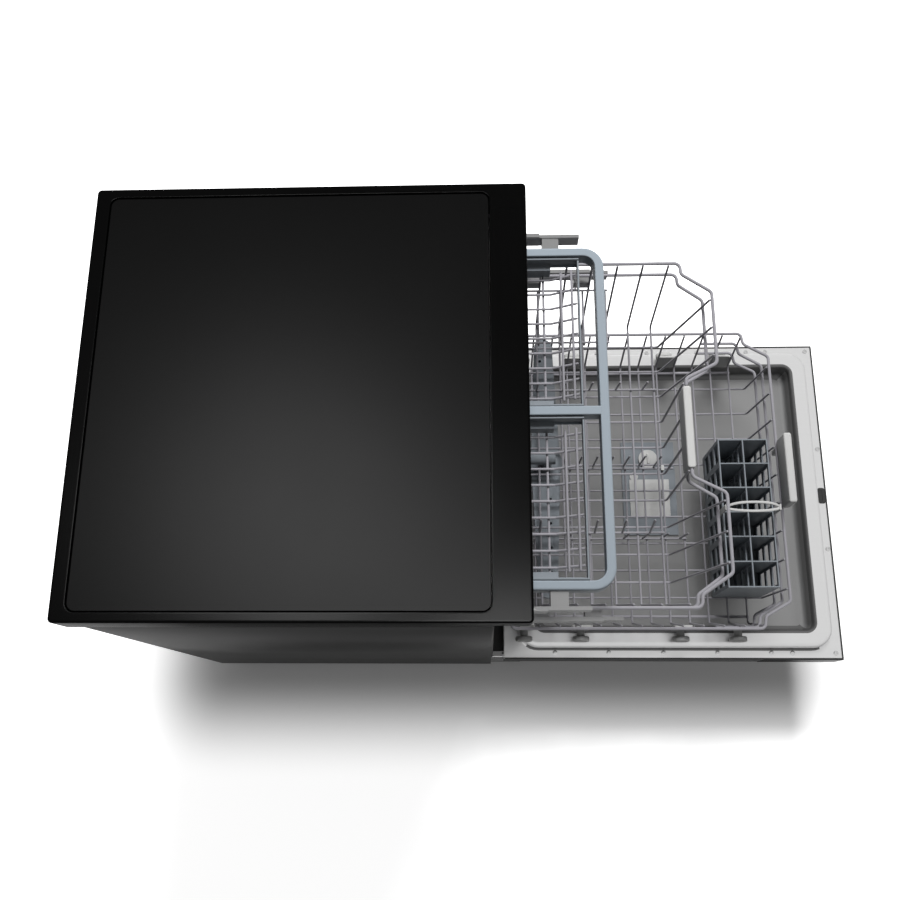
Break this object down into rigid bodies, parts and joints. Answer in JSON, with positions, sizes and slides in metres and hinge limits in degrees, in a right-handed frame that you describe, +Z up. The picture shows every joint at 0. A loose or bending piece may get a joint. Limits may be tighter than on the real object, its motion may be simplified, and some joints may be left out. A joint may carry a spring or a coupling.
{
  "type": "dishwasher",
  "caption": "Freestanding front-loading dishwasher with a flap door shown down and its racks and cutlery tray pulled out.",
  "frame": {"origin": "on the floor, in the middle of the whole open machine's outline seen from above", "axes": "+Z up, the door opens towards -Y and the back is +Y, +X is the machine's right seen from its front"},
  "size_m": [0.598, 1.1694, 0.845],
  "materials": {
    "black_gloss": "gloss black moulding",
    "black_panel": "satin black laminate and powder coat",
    "case_paint": "satin dark grey-black powder coat",
    "stainless": "brushed stainless steel",
    "bright_steel": "zinc-plated steel",
    "wire_coat": "grey nylon-coated wire",
    "blue_grey": "satin blue-grey plastic",
    "grey_plastic": "satin mid-grey plastic",
    "light_plastic": "satin light warm grey plastic",
    "dark_plastic": "matt black plastic",
    "soft_seal": "matt black rubber",
    "window": "smoked gloss window",
    "weight": "rough dark cast block"
  },
  "bodies": {
    "cabinet": {"worktop_frame": "black_gloss", "worktop_panel": "black_panel", "side_panel_left": "case_paint", "side_panel_right": "case_paint", "rear_panel": "bright_steel", "base_tray": "dark_plastic", "kick_panel": "dark_plastic", "feet": "dark_plastic", "tub": "stainless", "tub_gasket": "soft_seal", "front_crossbar": "bright_steel", "hinge_brackets": "bright_steel", "door_springs": "bright_steel", "sump": "dark_plastic", "filter_plate": "stainless", "softener": "grey_plastic", "spray_hub": "grey_plastic", "feed_duct": "grey_plastic", "circulation_pump": "dark_plastic", "drain_pump": "dark_plastic", "inlet_valve": "light_plastic", "counterweight": "weight", "fixed_rails": "stainless"},
    "door": {"door_liner": "stainless", "door_outer_panel": "case_paint", "control_panel": "black_gloss", "display_window": "window", "dispenser_body": "grey_plastic", "door_latch": "dark_plastic", "door_screws": "bright_steel", "hinge_arms": "bright_steel"},
    "dispenser_lid": {"dispenser_lid": "light_plastic"},
    "rinse_cap": {"rinse_cap": "light_plastic"},
    "power_button": {"power_button": "dark_plastic"},
    "program_button": {"program_button": "dark_plastic"},
    "start_button": {"start_button": "dark_plastic"},
    "tray": {"tray_frame": "blue_grey", "tray_insert_cheeks": "grey_plastic", "tray_insert_wires": "wire_coat", "tray_inner_rail": "stainless"},
    "tray_middle_rail": {"tray_middle_rail": "stainless"},
    "middle_rack": {"middle_rack_wires": "wire_coat", "middle_rack_handle": "light_plastic", "rack_inner_rail": "stainless", "upper_feed_pipe": "grey_plastic"},
    "rack_middle_rail": {"rack_middle_rail": "stainless"},
    "cup_shelf": {"cup_shelf": "wire_coat"},
    "upper_spray_arm": {"upper_spray_arm": "grey_plastic"},
    "lower_rack": {"lower_rack_wires": "wire_coat", "lower_rack_handle": "light_plastic"},
    "folding_tines": {"folding_tines": "wire_coat"},
    "wheels_1": {"rack_wheels_1": "light_plastic"},
    "wheels_2": {"rack_wheels_2": "light_plastic"},
    "wheels_3": {"rack_wheels_3": "light_plastic"},
    "wheels_4": {"rack_wheels_4": "light_plastic"},
    "cutlery_basket": {"cutlery_basket": "grey_plastic"},
    "basket_handle": {"basket_handle": "grey_plastic"},
    "lower_spray_arm": {"lower_spray_arm": "grey_plastic"},
    "cylinder_filter": {"cylinder_filter": "grey_plastic"},
    "salt_cap": {"salt_cap": "light_plastic"}
  },
  "joints": [
    {"name": "door_hinge", "type": "hinge", "parent": "cabinet", "child": "door", "pos_m": [0, 0.00925, 0.218], "axis": [-1, 0, 0], "range_deg": [0, 4]},
    {"name": "dispenser_lid_turn", "type": "hinge", "parent": "door", "child": "dispenser_lid", "pos_m": [0.042, -0.23275, 0.221], "axis": [0, 0, 1], "range_deg": [-90, 0]},
    {"name": "rinse_cap_turn", "type": "hinge", "parent": "door", "child": "rinse_cap", "pos_m": [0.076, -0.26075, 0.225], "axis": [0, 0, 1], "range_deg": [0, 90]},
    {"name": "power_button_press", "type": "slide", "parent": "door", "child": "power_button", "axis": [0, 0, 1], "range_m": [0, 0.002], "stiffness_N_per_m": 400},
    {"name": "program_button_press", "type": "slide", "parent": "door", "child": "program_button", "axis": [0, 0, 1], "range_m": [0, 0.002], "stiffness_N_per_m": 400},
    {"name": "start_button_press", "type": "slide", "parent": "door", "child": "start_button", "axis": [0, 0, 1], "range_m": [0, 0.002], "stiffness_N_per_m": 400},
    {"name": "tray_slide", "type": "slide", "parent": "cabinet", "child": "tray", "axis": [0, -1, 0], "range_m": [-0.195, 0]},
    {"name": "tray_rail_slide", "type": "slide", "parent": "cabinet", "child": "tray_middle_rail", "axis": [0, -1, 0], "range_m": [-0.0975, 0]},
    {"name": "middle_rack_slide", "type": "slide", "parent": "cabinet", "child": "middle_rack", "axis": [0, -1, 0], "range_m": [-0.365, 0]},
    {"name": "rack_rail_slide", "type": "slide", "parent": "cabinet", "child": "rack_middle_rail", "axis": [0, -1, 0], "range_m": [-0.1825, 0]},
    {"name": "cup_shelf_fold", "type": "hinge", "parent": "middle_rack", "child": "cup_shelf", "pos_m": [0.24455, -0.09625, 0.617], "axis": [0, 1, 0], "range_deg": [0, 60]},
    {"name": "upper_arm_spin", "type": "hinge", "parent": "middle_rack", "child": "upper_spray_arm", "pos_m": [0, -0.05125, 0.46], "axis": [0, 0, 1], "continuous": true},
    {"name": "lower_rack_slide", "type": "slide", "parent": "door", "child": "lower_rack", "axis": [0, -1, 0], "range_m": [-0.52, 0]},
    {"name": "tines_fold", "type": "hinge", "parent": "lower_rack", "child": "folding_tines", "pos_m": [0.04, -0.15525, 0.2964], "axis": [0, 1, 0], "range_deg": [-80, 0]},
    {"name": "wheels_1_spin", "type": "hinge", "parent": "lower_rack", "child": "wheels_1", "pos_m": [0, -0.39325, 0.2783], "axis": [1, 0, 0], "range_deg": [-1991, 5]},
    {"name": "wheels_2_spin", "type": "hinge", "parent": "lower_rack", "child": "wheels_2", "pos_m": [0, -0.29325, 0.2783], "axis": [1, 0, 0], "range_deg": [-1991, 5]},
    {"name": "wheels_3_spin", "type": "hinge", "parent": "lower_rack", "child": "wheels_3", "pos_m": [0, -0.11825, 0.2783], "axis": [1, 0, 0], "range_deg": [-1991, 5]},
    {"name": "wheels_4_spin", "type": "hinge", "parent": "lower_rack", "child": "wheels_4", "pos_m": [0, -0.01825, 0.2783], "axis": [1, 0, 0], "range_deg": [-1991, 5]},
    {"name": "basket_lift", "type": "slide", "parent": "lower_rack", "child": "cutlery_basket", "axis": [0, 0, 1], "range_m": [0, 0.15]},
    {"name": "basket_handle_fold", "type": "hinge", "parent": "cutlery_basket", "child": "basket_handle", "pos_m": [-0.068, -0.39125, 0.4062], "axis": [0, 1, 0], "range_deg": [-60, 60]},
    {"name": "lower_arm_spin", "type": "hinge", "parent": "cabinet", "child": "lower_spray_arm", "pos_m": [0, 0.29775, 0.267], "axis": [0, 0, 1], "continuous": true},
    {"name": "filter_twist", "type": "hinge", "parent": "cabinet", "child": "cylinder_filter", "pos_m": [0.058, 0.29775, 0.241], "axis": [0, 0, 1], "range_deg": [0, 90]},
    {"name": "salt_cap_turn", "type": "hinge", "parent": "cabinet", "child": "salt_cap", "pos_m": [-0.15, 0.20725, 0.241], "axis": [0, 0, 1], "continuous": true}
  ],
  "couplings": [
    {"joint": "tray_rail_slide", "follows": "tray_slide", "ratio": 0.5},
    {"joint": "rack_rail_slide", "follows": "middle_rack_slide", "ratio": 0.5},
    {"joint": "wheels_1_spin", "follows": "lower_rack_slide", "rad_per_m": 66.667},
    {"joint": "wheels_2_spin", "follows": "lower_rack_slide", "rad_per_m": 66.667},
    {"joint": "wheels_3_spin", "follows": "lower_rack_slide", "rad_per_m": 66.667},
    {"joint": "wheels_4_spin", "follows": "lower_rack_slide", "rad_per_m": 66.667}
  ]
}
